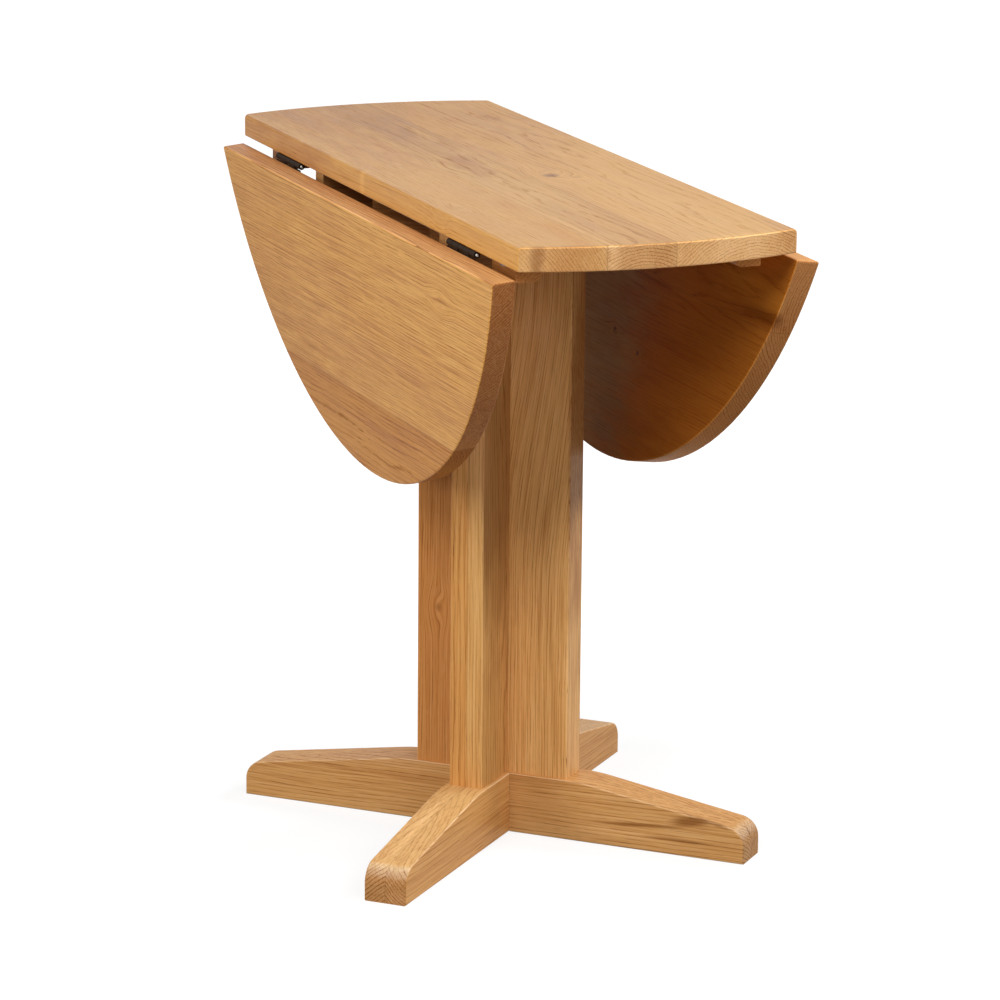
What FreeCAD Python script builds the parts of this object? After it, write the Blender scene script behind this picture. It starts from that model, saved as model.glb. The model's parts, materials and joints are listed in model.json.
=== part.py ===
import FreeCAD, Part
import math
import os

# Round oak pedestal table with two drop leaves, shown with both leaves hanging.
# Lengths are millimetres. The origin is on the floor under the middle of the top,
# +Z is up, +Y runs along the hinge lines and +X points at the right leaf.
# The near end is at -Y. The pedestal cross is turned to stand under the corners of the top.

# Top and leaves
table_height = 747.0
top_diameter = 900.0
strip_width = 306.0
board_thick = 25.5
joint_gap = 1.5
edge_round = 2.0
strip_round = 5.0
left_lag = 1.8
right_lag = 0.1

# Hinges
hinge_length = 78.0
hinge_keeper_gap = 2.0
knuckle_count = 5
knuckle_gap = 0.4
barrel_diameter = 7.2
barrel_clear = 0.3
pin_diameter = 3.6
pin_clear = 0.05
pin_stand_out = 1.2
pin_inset = 2.0
flap_width = 30.0
flap_thick = 2.2
flap_screw_pitch = 26.0
flap_screw_near = 13.0
flap_screw_far = 22.0

# Pedestal
base_turn = 45.0
post_width = 39.0
arm_reach = 91.0
post_round = 2.0
foot_width = 49.0
foot_height = 68.5
foot_reach = 303.5
foot_knee = 112.0
foot_knee_round = 180.0
foot_tip_height = 38.0
foot_tip_round = 22.0
foot_round = 2.0
lap_clear = 0.1
bearer_width = 43.0
bearer_height = 56.0
bearer_reach = 146.0
bearer_knee = 136.0
bearer_tip_height = 47.0
bearer_tip_round = 6.0
dowel_diameter = 10.0
dowel_bite = 30.0
dowel_count = 3
dowel_margin = 105.0

# Battens under the centre strip
batten_bias = 0.716
batten_width = 25.0
batten_height = 48.0
batten_inset = 10.0
batten_tip_height = 18.0
batten_taper = 24.0
batten_screw_span = 108.0

# Pull-out steel bars that hold a raised leaf, and the blocks that guide them
keeper_setback = 81.0
keeper_length = 65.0
keeper_width = 28.0
keeper_height = 21.0
keeper_inset = 17.5
keeper_round = 7.0
keeper_screw_near = 6.0
keeper_screw_far = 16.0
bar_width = 20.0
bar_thick = 5.0
bar_clear = 0.3
bar_offset = 14.25
bar_length = 282.0
bar_inset = 8.5
bar_travel = 110.0
finger_hole = 7.0
finger_inset = 8.5
peg_diameter = 6.0
peg_drop = 7.0
peg_clear = 0.3

# Fasteners
fit_clear = 0.05
hole_spare = 1.0
flap_screw_shank = 3.5
flap_screw_head = 6.6
flap_screw_bite = 16.0
wood_screw_shank = 4.5
wood_screw_head = 8.0
wood_screw_bite = 16.0
bearer_screw_station = 122.0
deep_screw_seat = 15.0
bolt_station = 57.0
bolt_diameter = 8.0
bolt_bite = 60.0
bolt_head_flats = 13.0
bolt_head_high = 5.3
washer_diameter = 22.0
washer_thick = 2.0
counterbore_clear = 1.0
base_counterbore = 22.0
bearer_counterbore = 10.0

Vector = FreeCAD.Vector
CENTRE = Vector(0, 0, 0)
AXIS_Y = Vector(0, 1, 0)
AXIS_Z = Vector(0, 0, 1)

# Places worked out from the sizes above
top_radius = top_diameter / 2
half_strip = strip_width / 2
strip_corner_y = math.sqrt(top_radius ** 2 - half_strip ** 2)
underside = table_height - board_thick
barrel_radius = barrel_diameter / 2
pin_drop = barrel_radius + barrel_clear
pin_x = half_strip - pin_inset
pin_z = underside - pin_drop
leaf_chord = half_strip + joint_gap
bearer_bottom = underside - bearer_height
cross_angle = math.radians(base_turn)
bearer_corner_y = bearer_reach * math.sin(cross_angle) + bearer_width / 2 * math.cos(cross_angle)
keeper_station = strip_corner_y - keeper_setback
hinge_station = keeper_station - keeper_length / 2 - hinge_keeper_gap - hinge_length / 2
batten_room = hinge_station - hinge_length / 2 - bearer_corner_y - batten_width
batten_station = bearer_corner_y + batten_bias * batten_room + batten_width / 2
keeper_inner = half_strip - keeper_inset - keeper_width
keeper_outer = half_strip - keeper_inset
bar_top = underside - bar_clear
bar_tip = half_strip - bar_inset
bar_tail = bar_tip - bar_length
side_depth = arm_reach - post_width / 2

# A leaf hangs with its centre of mass almost under the pin: hinge friction stops each a little short
leaf_half_angle = math.acos(leaf_chord / top_radius)
leaf_area = top_radius ** 2 * (leaf_half_angle - math.sin(2 * leaf_half_angle) / 2)
leaf_centroid = 2 / 3 * (top_radius * math.sin(leaf_half_angle)) ** 3 / leaf_area
plumb_angle = math.degrees(math.atan2(pin_drop + board_thick / 2, leaf_centroid - pin_x))
left_drop = 90 + plumb_angle - left_lag
right_drop = 90 + plumb_angle - right_lag


def box(x0, x1, y0, y1, z0, z1):
    return Part.makeBox(x1 - x0, y1 - y0, z1 - z0, Vector(x0, y0, z0))


def rod(radius, start, end):
    run = end - start
    return Part.makeCylinder(radius, run.Length, start, run)


def rounded_face(corners):
    """Face in the X-Z plane from (x, z, radius) corners, each radius a tangent arc."""
    points = [Vector(x, 0, z) for x, z, radius in corners]
    bends = []
    for index, corner in enumerate(points):
        radius = corners[index][2]
        back = (points[index - 1] - corner).normalize()
        ahead = (points[(index + 1) % len(points)] - corner).normalize()
        half = back.getAngle(ahead) / 2
        setback = radius / math.tan(half)
        middle = (back + ahead).normalize() * (radius / math.sin(half) - radius)
        bends.append((corner + back * setback, corner + middle, corner + ahead * setback))
    edges = []
    for index, (start, middle, end) in enumerate(bends):
        if corners[index][2] > 0:
            edges.append(Part.Arc(start, middle, end).toShape())
        edges.append(Part.makeLine(end, bends[(index + 1) % len(bends)][0]))
    return Part.Face(Part.Wire(edges))


def rail(corners, width):
    """A board of the given side outline, centred across Y."""
    return rounded_face(corners).extrude(Vector(0, width, 0)).translated(Vector(0, -width / 2, 0))


def ease_sides(board, width, radius):
    """Round the long edges of a board that is centred across Y."""
    edges = [edge for edge in board.Edges if abs(abs(edge.CenterOfMass.y) - width / 2) < 0.001]
    return board.makeFillet(radius, edges)


def cross_turn(shape):
    """From the pedestal's own axes to the table's."""
    return shape.rotated(CENTRE, AXIS_Z, base_turn)


def half_turn(shape):
    return shape.rotated(CENTRE, AXIS_Z, 180)


def screw(shank, head, length, grow=0.0):
    """Countersunk screw pointing up, its flat head face at z = 0."""
    shank_radius = shank / 2 + grow
    head_radius = head / 2 + grow
    cone = head_radius - shank_radius
    profile = [Vector(0, 0, 0), Vector(head_radius, 0, 0), Vector(shank_radius, 0, cone)]
    profile += [Vector(shank_radius, 0, length + grow), Vector(0, 0, length + grow), Vector(0, 0, 0)]
    return Part.Face(Part.makePolygon(profile)).revolve(CENTRE, AXIS_Z, 360)


def place_all(shape, spots):
    return [shape.translated(spot) for spot in spots]


def deep_screw(bottom):
    """Wood screw up into the strip, and its hole counterbored from a tall piece's underside."""
    length = deep_screw_seat + wood_screw_bite
    seat = Vector(0, 0, underside - deep_screw_seat)
    body = screw(wood_screw_shank, wood_screw_head, length).translated(seat)
    hole = screw(wood_screw_shank, wood_screw_head, length, fit_clear).translated(seat)
    mouth = rod(wood_screw_head / 2 + fit_clear, Vector(0, 0, bottom), seat)
    return body, hole.fuse(mouth)


# Top boards

def centre_strip():
    """Fixed middle of the top, with a softer round along the upper edges that meet the leaves."""
    near_left = Vector(-half_strip, -strip_corner_y, underside)
    near_right = Vector(half_strip, -strip_corner_y, underside)
    far_right = Vector(half_strip, strip_corner_y, underside)
    far_left = Vector(-half_strip, strip_corner_y, underside)
    edges = [
        Part.Arc(near_left, Vector(0, -top_radius, underside), near_right).toShape(),
        Part.makeLine(near_right, far_right),
        Part.Arc(far_right, Vector(0, top_radius, underside), far_left).toShape(),
        Part.makeLine(far_left, near_left),
    ]
    board = Part.Face(Part.Wire(edges)).extrude(Vector(0, 0, board_thick))
    upper = [edge for edge in board.Edges if edge.CenterOfMass.z > table_height - edge_round]
    meeting = [edge for edge in upper if abs(edge.CenterOfMass.x) > half_strip - edge_round]
    board = board.makeFillet(strip_round, meeting)
    at_ends = [edge for edge in board.Edges if abs(edge.CenterOfMass.y) > strip_corner_y / 2]
    lower = [edge for edge in board.Edges if edge.CenterOfMass.z < underside + edge_round]
    lower_long = [edge for edge in lower if abs(edge.CenterOfMass.y) < strip_corner_y / 2]
    return board.makeFillet(edge_round, at_ends + lower_long)


def raised_leaf():
    """Right leaf as it lies when it is up, level with the strip."""
    corner_y = math.sqrt(top_radius ** 2 - leaf_chord ** 2)
    near = Vector(leaf_chord, -corner_y, underside)
    far = Vector(leaf_chord, corner_y, underside)
    edges = [
        Part.Arc(near, Vector(top_radius, 0, underside), far).toShape(),
        Part.makeLine(far, near),
    ]
    board = Part.Face(Part.Wire(edges)).extrude(Vector(0, 0, board_thick))
    return board.makeFillet(edge_round, board.Edges)


def drop_right(shape):
    """Swing a right-hand leaf piece from raised to hanging."""
    return shape.rotated(Vector(pin_x, 0, pin_z), AXIS_Y, right_drop)


def drop_left(shape):
    """Carry a raised right-hand leaf piece over to the left side and let it hang there."""
    return half_turn(shape).rotated(Vector(-pin_x, 0, pin_z), AXIS_Y, -left_drop)


# Hinge, drawn about its pin: +X towards the raised leaf, the wood above it at z = pin_drop

knuckle_pitch = hinge_length / knuckle_count


def knuckle_zones(first):
    """Start and end along Y of every other knuckle."""
    starts = [index * knuckle_pitch - hinge_length / 2 for index in range(first, knuckle_count, 2)]
    return [(start, start + knuckle_pitch) for start in starts]


def flap_screw_spots(direction):
    floor = pin_drop - flap_thick
    return [
        Vector(direction * flap_screw_far, -flap_screw_pitch, floor),
        Vector(direction * flap_screw_near, 0, floor),
        Vector(direction * flap_screw_far, flap_screw_pitch, floor),
    ]


def flap_screws(direction, grow=0.0):
    one = screw(flap_screw_shank, flap_screw_head, flap_thick + flap_screw_bite, grow)
    return place_all(one, flap_screw_spots(direction))


def flap(direction, own_first, other_first):
    """One hinge flap with its knuckles: direction +1 for the leaf, -1 for the strip."""
    half = hinge_length / 2
    floor = pin_drop - flap_thick
    reach = direction * flap_width
    bridge = direction * (pin_inset + joint_gap + barrel_clear)
    plate = box(min(bridge, reach), max(bridge, reach), -half, half, floor, pin_drop)
    plate = plate.fuse(box(min(0, bridge), max(0, bridge), -half, half, floor, barrel_radius))
    for start, end in knuckle_zones(own_first):
        plate = plate.fuse(rod(barrel_radius, Vector(0, start, 0), Vector(0, end, 0)))
    open_x = barrel_radius + barrel_clear
    for start, end in knuckle_zones(other_first):
        low = start - knuckle_gap / 2 if start > -half else start
        high = end + knuckle_gap / 2 if end < half else end
        plate = plate.cut(box(-open_x, open_x, low, high, -barrel_diameter, pin_drop))
    bore = rod(pin_diameter / 2 + pin_clear, Vector(0, -half, 0), Vector(0, half, 0))
    plate = plate.cut([bore] + flap_screws(direction, fit_clear))
    return plate.removeSplitter()


def hinge_pin():
    reach = hinge_length / 2 + pin_stand_out
    pin = rod(pin_diameter / 2, Vector(0, -reach, 0), Vector(0, reach, 0))
    ends = [edge for edge in pin.Edges if abs(abs(edge.CenterOfMass.y) - reach) < 0.001]
    return pin.makeFillet(pin_stand_out, ends)


def at_hinge(shape, end):
    """Carry a right-hand hinge piece to its place: end -1 near, +1 far."""
    return shape.translated(Vector(pin_x, end * hinge_station, pin_z))


# Pedestal, drawn on its own axes: X front to back, Y across

def foot_outline():
    return [
        (-foot_reach, 0, 0),
        (foot_reach, 0, 0),
        (foot_reach, foot_tip_height, foot_tip_round),
        (foot_knee, foot_height, foot_knee_round),
        (-foot_knee, foot_height, foot_knee_round),
        (-foot_reach, foot_tip_height, foot_tip_round),
    ]


def bearer_outline():
    tip = underside - bearer_tip_height
    return [
        (-bearer_reach, underside, 0),
        (-bearer_reach, tip, bearer_tip_round),
        (-bearer_knee, bearer_bottom, 0),
        (bearer_knee, bearer_bottom, 0),
        (bearer_reach, tip, bearer_tip_round),
        (bearer_reach, underside, 0),
    ]


def lap_notch(width, low, high):
    half = width / 2 + lap_clear
    return box(-half, half, -half, half, low, high)


def hex_bolt(length):
    """Hexagon-headed bolt pointing up, the underside of its head at z = 0."""
    radius = bolt_head_flats / math.sqrt(3)
    turns = [math.radians(60 * side) for side in range(7)]
    corners = [Vector(radius * math.cos(turn), radius * math.sin(turn), -bolt_head_high) for turn in turns]
    head = Part.Face(Part.makePolygon(corners)).extrude(Vector(0, 0, bolt_head_high))
    return head.fuse(rod(bolt_diameter / 2, CENTRE, Vector(0, 0, length))).removeSplitter()


def washer():
    """Washer whose upper face is at z = 0."""
    disc = rod(washer_diameter / 2, Vector(0, 0, -washer_thick), CENTRE)
    return disc.cut(rod(bolt_diameter / 2 + fit_clear, Vector(0, 0, -washer_thick), CENTRE))


def around(shape, distance):
    """Four copies, one on each arm of the cross."""
    return [
        shape.translated(Vector(distance, 0, 0)),
        shape.translated(Vector(-distance, 0, 0)),
        shape.translated(Vector(0, distance, 0)),
        shape.translated(Vector(0, -distance, 0)),
    ]


def flip(shape):
    """Turn a piece upside down about the X axis."""
    return shape.rotated(CENTRE, Vector(1, 0, 0), 180)


def bolt_set(seat, grip, direction):
    """Bolts, washers and the holes for both, seated at height seat: direction +1 points up."""
    length = washer_thick + grip + bolt_bite
    bolt = hex_bolt(length).translated(Vector(0, 0, -washer_thick))
    ring = washer()
    hole = rod(bolt_diameter / 2 + fit_clear, CENTRE, Vector(0, 0, grip + bolt_bite + hole_spare))
    mouth_radius = washer_diameter / 2 + counterbore_clear
    mouth = rod(mouth_radius, Vector(0, 0, -base_counterbore - bearer_counterbore), CENTRE)
    pieces = [bolt, ring, hole.fuse(mouth)]
    if direction < 0:
        pieces = [flip(piece) for piece in pieces]
    return [around(piece.translated(Vector(0, 0, seat)), bolt_station) for piece in pieces]


def build_pedestal():
    base_bolts, base_washers, base_holes = bolt_set(base_counterbore, foot_height - base_counterbore, 1)
    bearer_seat = underside - bearer_counterbore
    bearer_grip = bearer_height - bearer_counterbore
    bearer_bolts, bearer_washers, bearer_holes = bolt_set(bearer_seat, bearer_grip, -1)

    top_screw, top_hole = deep_screw(bearer_bottom)
    bearer_screws = around(top_screw, bearer_screw_station)
    bearer_screw_holes = around(top_hole, bearer_screw_station)

    foot = ease_sides(rail(foot_outline(), foot_width), foot_width, foot_round)
    foot_lap = foot_height / 2
    front_back_foot = foot.cut([lap_notch(foot_width, foot_lap, foot_height)] + base_holes)
    cross_foot = foot.rotated(CENTRE, AXIS_Z, 90)
    left_right_foot = cross_foot.cut([lap_notch(foot_width, 0, foot_lap)] + base_holes)

    bearer = rail(bearer_outline(), bearer_width)
    bearer_lap = underside - bearer_height / 2
    bearer_cuts = bearer_holes + bearer_screw_holes
    front_back_bearer = bearer.cut([lap_notch(bearer_width, bearer_lap, underside)] + bearer_cuts)
    cross_bearer = bearer.rotated(CENTRE, AXIS_Z, 90)
    left_right_bearer = cross_bearer.cut([lap_notch(bearer_width, bearer_bottom, bearer_lap)] + bearer_cuts)

    dowel_reach = post_width / 2 + dowel_bite
    dowel_step = (bearer_bottom - foot_height - 2 * dowel_margin) / (dowel_count - 1)
    heights = [foot_height + dowel_margin + dowel_step * index for index in range(dowel_count)]
    spots = [Vector(0, 0, height) for height in heights]
    dowel = rod(dowel_diameter / 2, Vector(0, -dowel_reach, 0), Vector(0, dowel_reach, 0))
    hole_reach = dowel_reach + hole_spare
    dowel_hole = rod(dowel_diameter / 2 + fit_clear, Vector(0, -hole_reach, 0), Vector(0, hole_reach, 0))
    post_cuts = place_all(dowel_hole, spots) + base_holes + bearer_holes

    half_post = post_width / 2
    main = box(-arm_reach, arm_reach, -half_post, half_post, foot_height, bearer_bottom)
    main_corners = [edge for edge in main.Edges if abs(edge.tangentAt(edge.FirstParameter).z) > 0.5]
    main = main.makeFillet(post_round, main_corners)
    side = box(-half_post, half_post, half_post, arm_reach, foot_height, bearer_bottom)
    upright = [edge for edge in side.Edges if abs(edge.tangentAt(edge.FirstParameter).z) > 0.5]
    outer_corners = [edge for edge in upright if edge.CenterOfMass.y > half_post + side_depth / 2]
    side = side.makeFillet(post_round, outer_corners)

    pieces = {
        "front_back_foot": front_back_foot,
        "left_right_foot": left_right_foot,
        "column_main_board": main.cut(post_cuts),
        "column_left_board": side.cut(post_cuts),
        "column_right_board": half_turn(side).cut(post_cuts),
        "front_back_bearer": front_back_bearer,
        "left_right_bearer": left_right_bearer,
        "column_dowels": Part.makeCompound(place_all(dowel, spots)),
        "base_bolts": Part.makeCompound(base_bolts),
        "base_washers": Part.makeCompound(base_washers),
        "bearer_bolts": Part.makeCompound(bearer_bolts),
        "bearer_washers": Part.makeCompound(bearer_washers),
        "bearer_screws": Part.makeCompound(bearer_screws),
    }
    strip_cuts = [cross_turn(hole) for hole in bearer_screw_holes]
    return {name: cross_turn(shape) for name, shape in pieces.items()}, strip_cuts


# Battens, keepers and pull-out bars

def batten():
    reach = half_strip - batten_inset
    bottom = underside - batten_height
    tip = underside - batten_tip_height
    outline = [
        (-reach, underside, 0),
        (-reach, tip, 0),
        (-reach + batten_taper, bottom, 0),
        (reach - batten_taper, bottom, 0),
        (reach, tip, 0),
        (reach, underside, 0),
    ]
    return rail(outline, batten_width)


def up_screws(height, spots, grow=0.0):
    """Wood screws driven up from a piece of the given height into the strip."""
    one = screw(wood_screw_shank, wood_screw_head, height + wood_screw_bite, grow)
    return place_all(one.translated(Vector(0, 0, underside - height)), spots)


def keeper(end):
    """Right-hand guide block at one end, with a groove for each bar that passes it."""
    bottom = underside - keeper_height
    outline = [
        (keeper_inner, underside, 0),
        (keeper_inner, bottom, keeper_round),
        (keeper_outer, bottom, 0),
        (keeper_outer, underside, 0),
    ]
    block = rail(outline, keeper_length).translated(Vector(0, end * keeper_station, 0))
    groove_half = bar_width / 2 + bar_clear
    groove_floor = bar_top - bar_thick - bar_clear
    for offset in (-bar_offset, bar_offset):
        middle = end * keeper_station + offset
        low = middle - groove_half
        high = middle + groove_half
        block = block.cut(box(keeper_inner, keeper_outer, low, high, groove_floor, underside))
    return block


def keeper_screw_spots(end):
    reaches = (keeper_outer - keeper_screw_near, keeper_outer - keeper_screw_far)
    return [Vector(reach, end * keeper_station, 0) for reach in reaches]


def peg_places():
    """Peg centres along a right-hand bar: the first stops it coming out, the second going in."""
    swing = peg_diameter / 2 + peg_clear
    return (keeper_inner - bar_travel - swing, -keeper_inner + swing)


def bar():
    """Right-hand bar on the X axis, drawn pushed home."""
    bottom = bar_top - bar_thick
    half = bar_width / 2
    outline = [
        Vector(bar_tail, -half, bottom),
        Vector(bar_tip - half, -half, bottom),
        Vector(bar_tip - half, half, bottom),
        Vector(bar_tail, half, bottom),
    ]
    nose = Vector(bar_tip, 0, bottom)
    edges = [
        Part.makeLine(outline[0], outline[1]),
        Part.Arc(outline[1], nose, outline[2]).toShape(),
        Part.makeLine(outline[2], outline[3]),
        Part.makeLine(outline[3], outline[0]),
    ]
    plate = Part.Face(Part.Wire(edges)).extrude(Vector(0, 0, bar_thick))
    finger_x = bar_tip - finger_inset
    holes = [rod(finger_hole / 2, Vector(finger_x, 0, bottom), Vector(finger_x, 0, bar_top))]
    for x in peg_places():
        holes.append(rod(peg_diameter / 2 + fit_clear, Vector(x, 0, bottom), Vector(x, 0, bar_top)))
    return plate.cut(holes)


def pegs():
    low = bar_top - bar_thick - peg_drop
    rods = [rod(peg_diameter / 2, Vector(x, 0, low), Vector(x, 0, bar_top)) for x in peg_places()]
    return Part.makeCompound(rods)


def build_under_top():
    """Everything screwed or guided under the strip, and the holes that it needs there."""
    pieces = {}
    strip_cuts = []
    batten_screws = []
    batten_screw, batten_hole = deep_screw(underside - batten_height)
    for end_name, end in (("near", -1), ("far", 1)):
        spots = [Vector(x, end * batten_station, 0) for x in (-batten_screw_span, 0, batten_screw_span)]
        holes = place_all(batten_hole, spots)
        pieces[end_name + "_batten"] = batten().translated(Vector(0, end * batten_station, 0)).cut(holes)
        batten_screws += place_all(batten_screw, spots)
        strip_cuts += holes
    pieces["batten_screws"] = Part.makeCompound(batten_screws)

    keeper_screws = []
    for end_name, opposite, end in (("near", "far", -1), ("far", "near", 1)):
        spots = keeper_screw_spots(end)
        holes = up_screws(keeper_height, spots, fit_clear)
        block = keeper(end).cut(holes)
        bar_y = end * keeper_station + bar_offset
        steel = bar().translated(Vector(0, bar_y, 0))
        stops = pegs().translated(Vector(0, bar_y, 0))
        pieces[end_name + "_right_keeper"] = block
        pieces[opposite + "_left_keeper"] = half_turn(block)
        pieces[end_name + "_right_bar"] = steel
        pieces[opposite + "_left_bar"] = half_turn(steel)
        pieces[end_name + "_right_bar_pegs"] = stops
        pieces[opposite + "_left_bar_pegs"] = half_turn(stops)
        screws = up_screws(keeper_height, spots)
        keeper_screws += screws + [half_turn(one) for one in screws]
        strip_cuts += holes + [half_turn(hole) for hole in holes]
    pieces["keeper_screws"] = Part.makeCompound(keeper_screws)
    return pieces, strip_cuts


def build_top(strip_cuts):
    """Strip, leaves and hinges."""
    pieces = {}
    fixed_flap = flap(-1, 0, 1)
    leaf_flap = flap(1, 1, 0)
    pin = hinge_pin()
    leaf = raised_leaf()
    fixed_screws = []
    leaf_screws = []
    strip_holes = list(strip_cuts)
    for end_name, opposite, end in (("near", "far", -1), ("far", "near", 1)):
        fixed = at_hinge(fixed_flap, end)
        moving = at_hinge(leaf_flap, end)
        axle = at_hinge(pin, end)
        pieces[end_name + "_right_fixed_flap"] = fixed
        pieces[opposite + "_left_fixed_flap"] = half_turn(fixed)
        pieces[end_name + "_right_leaf_flap"] = drop_right(moving)
        pieces[opposite + "_left_leaf_flap"] = drop_left(moving)
        pieces[end_name + "_right_hinge_pin"] = axle
        pieces[opposite + "_left_hinge_pin"] = half_turn(axle)
        screws = [at_hinge(one, end) for one in flap_screws(-1)]
        holes = [at_hinge(one, end) for one in flap_screws(-1, fit_clear)]
        fixed_screws += screws + [half_turn(one) for one in screws]
        strip_holes += holes + [half_turn(one) for one in holes]
        leaf_screws += [at_hinge(one, end) for one in flap_screws(1)]
        leaf = leaf.cut([at_hinge(one, end) for one in flap_screws(1, fit_clear)])
    pieces["centre_top"] = centre_strip().cut(strip_holes)
    pieces["right_leaf"] = drop_right(leaf)
    pieces["left_leaf"] = drop_left(leaf)
    pieces["fixed_flap_screws"] = Part.makeCompound(fixed_screws)
    pieces["right_leaf_screws"] = Part.makeCompound([drop_right(one) for one in leaf_screws])
    pieces["left_leaf_screws"] = Part.makeCompound([drop_left(one) for one in leaf_screws])
    return pieces


pedestal, pedestal_cuts = build_pedestal()
under_top, under_cuts = build_under_top()
table = {**pedestal, **under_top, **build_top(pedestal_cuts + under_cuts)}

os.makedirs("parts", exist_ok=True)
for node, shape in table.items():
    shape.exportStep("parts/" + node + ".step")
print(len(table), "pieces, leaves", round(left_drop, 3), "and", round(right_drop, 3), "degrees down")
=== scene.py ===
"""Looks of a round oak drop-leaf pedestal table: finishes, studio and camera around its solid parts."""

import json
import math
from collections import namedtuple

import bpy
from mathutils import Matrix, Vector


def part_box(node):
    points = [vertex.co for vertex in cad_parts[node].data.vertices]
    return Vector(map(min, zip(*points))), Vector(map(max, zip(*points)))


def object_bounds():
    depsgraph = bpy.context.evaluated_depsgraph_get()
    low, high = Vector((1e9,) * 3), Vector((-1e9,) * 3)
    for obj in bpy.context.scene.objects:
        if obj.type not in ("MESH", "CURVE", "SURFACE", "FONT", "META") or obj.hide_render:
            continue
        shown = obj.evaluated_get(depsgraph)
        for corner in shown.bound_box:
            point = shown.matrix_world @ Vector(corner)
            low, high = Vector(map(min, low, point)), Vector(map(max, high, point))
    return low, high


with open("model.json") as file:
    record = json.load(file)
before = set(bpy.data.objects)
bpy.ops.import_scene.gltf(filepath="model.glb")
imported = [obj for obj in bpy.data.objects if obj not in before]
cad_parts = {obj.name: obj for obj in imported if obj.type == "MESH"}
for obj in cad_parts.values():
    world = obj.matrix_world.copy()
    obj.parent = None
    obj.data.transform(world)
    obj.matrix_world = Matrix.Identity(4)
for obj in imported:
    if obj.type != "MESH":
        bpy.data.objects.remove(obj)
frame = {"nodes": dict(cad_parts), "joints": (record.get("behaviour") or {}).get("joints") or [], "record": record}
nodes = frame["nodes"]
cad_low, cad_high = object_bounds()

# Directions of the table: the pedestal cross stands turned under the corners of the top
LONG = Vector((0, 1, 0))
SIDE = Vector((1, 0, 0))
UP = Vector((0, 0, 1))
FRONT = Vector((-1, -1, 0)).normalized()
RIGHT = Vector((1, -1, 0)).normalized()

# Hinge lines and hang of the leaves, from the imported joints
JOINTS = {joint["name"]: joint for joint in frame["joints"]}
LEFT_PIN = Vector(JOINTS["left_leaf_hinge"]["pos_m"])
RIGHT_PIN = Vector(JOINTS["right_leaf_hinge"]["pos_m"])
LEFT_DROP = math.radians(JOINTS["left_leaf_hinge"]["range_deg"][1])
RIGHT_DROP = math.radians(JOINTS["right_leaf_hinge"]["range_deg"][1])

# Directions of a hanging leaf: away from its hinge line over the outer face
LEFT_OUT = Vector((-math.cos(LEFT_DROP), 0, -math.sin(LEFT_DROP)))
RIGHT_OUT = Vector((math.cos(RIGHT_DROP), 0, -math.sin(RIGHT_DROP)))

# Origins of the boards' own places
TOP_MIDDLE = Vector((0, 0, cad_high.z))
COLUMN_FOOT = Vector((0, 0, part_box("front_back_foot")[1].z))
FLOOR_MIDDLE = Vector((0, 0, 0))

# Camera that took the reference picture
CAMERA_PLACE = Vector((-1.8455, -4.6063, 1.6348))
CAMERA_YAW = math.radians(-21.83)
CAMERA_PITCH = math.radians(-14.251)
CAMERA_ROLL = math.radians(0.491)
CAMERA_LENS = 166.69
SENSOR_WIDTH = 36.0

# Places of a Mix node's colour and vector sockets, which share their names
MIX_COLOURS = (6, 7)
MIXED_COLOUR = 2
MIX_VECTORS = (4, 5)
MIXED_VECTOR = 1


def colour(red, green, blue):
    """Linear colour from display values of 0 to 255."""
    shares = [value / 255 for value in (red, green, blue)]
    return tuple(s / 12.92 if s <= 0.04045 else ((s + 0.055) / 1.055) ** 2.4 for s in shares)


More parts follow.
